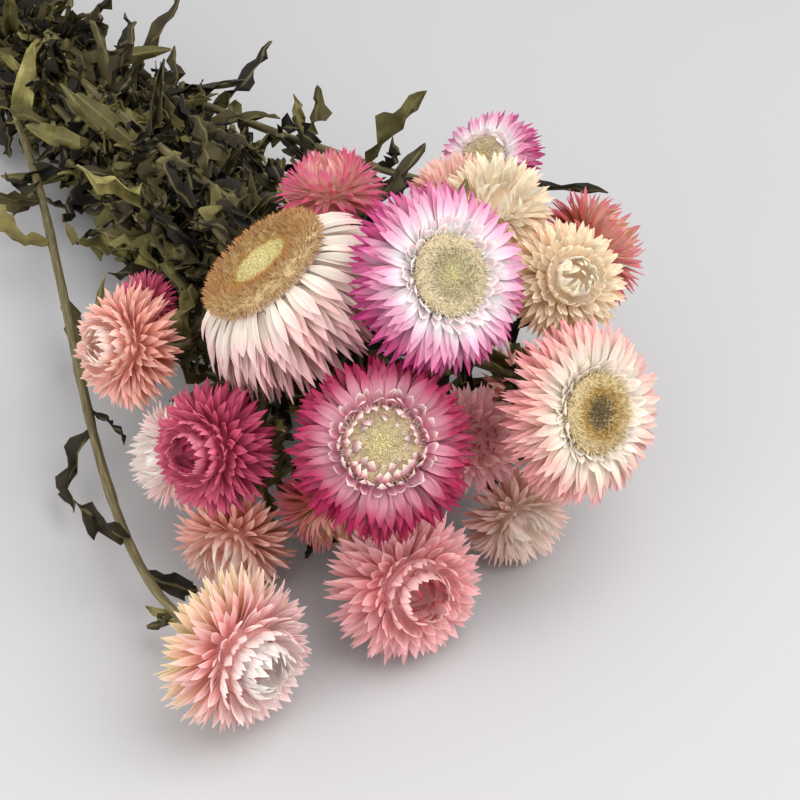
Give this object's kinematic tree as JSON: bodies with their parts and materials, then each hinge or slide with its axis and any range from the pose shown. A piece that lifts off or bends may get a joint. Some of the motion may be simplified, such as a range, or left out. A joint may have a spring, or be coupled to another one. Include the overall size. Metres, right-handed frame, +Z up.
{
  "type": "dried strawflower bunch",
  "caption": "Tied bunch of dried strawflowers with papery heads and leafy stems, lying down for display.",
  "frame": {"origin": "middle of the bunch's box, on the surface it lies on", "axes": "+X along the bunch towards the heads, +Z up"},
  "size_m": [0.3929, 0.1821, 0.1039],
  "materials": {
    "bract_blush": "dry papery bracts, satin, pale at the base and deeper at the tips",
    "bract_white_magenta": "dry papery bracts, satin, pale at the base and deeper at the tips",
    "bract_magenta": "dry papery bracts, satin, pale at the base and deeper at the tips",
    "bract_cream_pink": "dry papery bracts, satin, pale at the base and deeper at the tips",
    "bract_salmon": "dry papery bracts, satin, pale at the base and deeper at the tips",
    "bract_shell": "dry papery bracts, satin, pale at the base and deeper at the tips",
    "bract_rose": "dry papery bracts, satin, pale at the base and deeper at the tips",
    "bract_peach": "dry papery bracts, satin, pale at the base and deeper at the tips",
    "bract_cream": "dry papery bracts, satin, pale at the base and deeper at the tips",
    "bract_russet": "dry papery bracts, satin, pale at the base and deeper at the tips",
    "button_dome": "dry packed florets, dull and bristly",
    "button_brush": "dry packed florets, dull and bristly",
    "dried_leaf": "dried olive-green leaves and brown stems, dull and wrinkled",
    "twine": "twisted natural jute, matt"
  },
  "bodies": {
    "root": {"bracts_01": "bract_blush", "bracts_02": "bract_white_magenta", "bracts_03": "bract_magenta", "bracts_04": "bract_cream_pink", "bracts_05": "bract_salmon", "bracts_06": "bract_shell", "bracts_07": "bract_rose", "bracts_08": "bract_peach", "bracts_09": "bract_rose", "bracts_10": "bract_white_magenta", "bracts_11": "bract_peach", "bracts_12": "bract_cream", "bracts_13": "bract_cream", "bracts_14": "bract_russet", "bracts_15": "bract_peach", "bracts_16": "bract_shell", "bracts_17": "bract_russet", "bracts_18": "bract_cream", "bracts_19": "bract_salmon", "bracts_20": "bract_rose", "bracts_21": "bract_peach", "button_01": "button_brush", "button_02": "button_dome", "button_03": "button_dome", "button_04": "button_dome", "button_10": "button_dome", "leafy_stem_01": "dried_leaf", "leafy_stem_02": "dried_leaf", "leafy_stem_03": "dried_leaf", "leafy_stem_04": "dried_leaf", "leafy_stem_05": "dried_leaf", "leafy_stem_06": "dried_leaf", "leafy_stem_07": "dried_leaf", "leafy_stem_08": "dried_leaf", "leafy_stem_09": "dried_leaf", "leafy_stem_10": "dried_leaf", "leafy_stem_11": "dried_leaf", "leafy_stem_12": "dried_leaf", "leafy_stem_13": "dried_leaf", "leafy_stem_14": "dried_leaf", "leafy_stem_15": "dried_leaf", "leafy_stem_16": "dried_leaf", "leafy_stem_17": "dried_leaf", "leafy_stem_18": "dried_leaf", "leafy_stem_19": "dried_leaf", "leafy_stem_20": "dried_leaf", "leafy_stem_21": "dried_leaf", "twine_tie": "twine"}
  },
  "joints": []
}
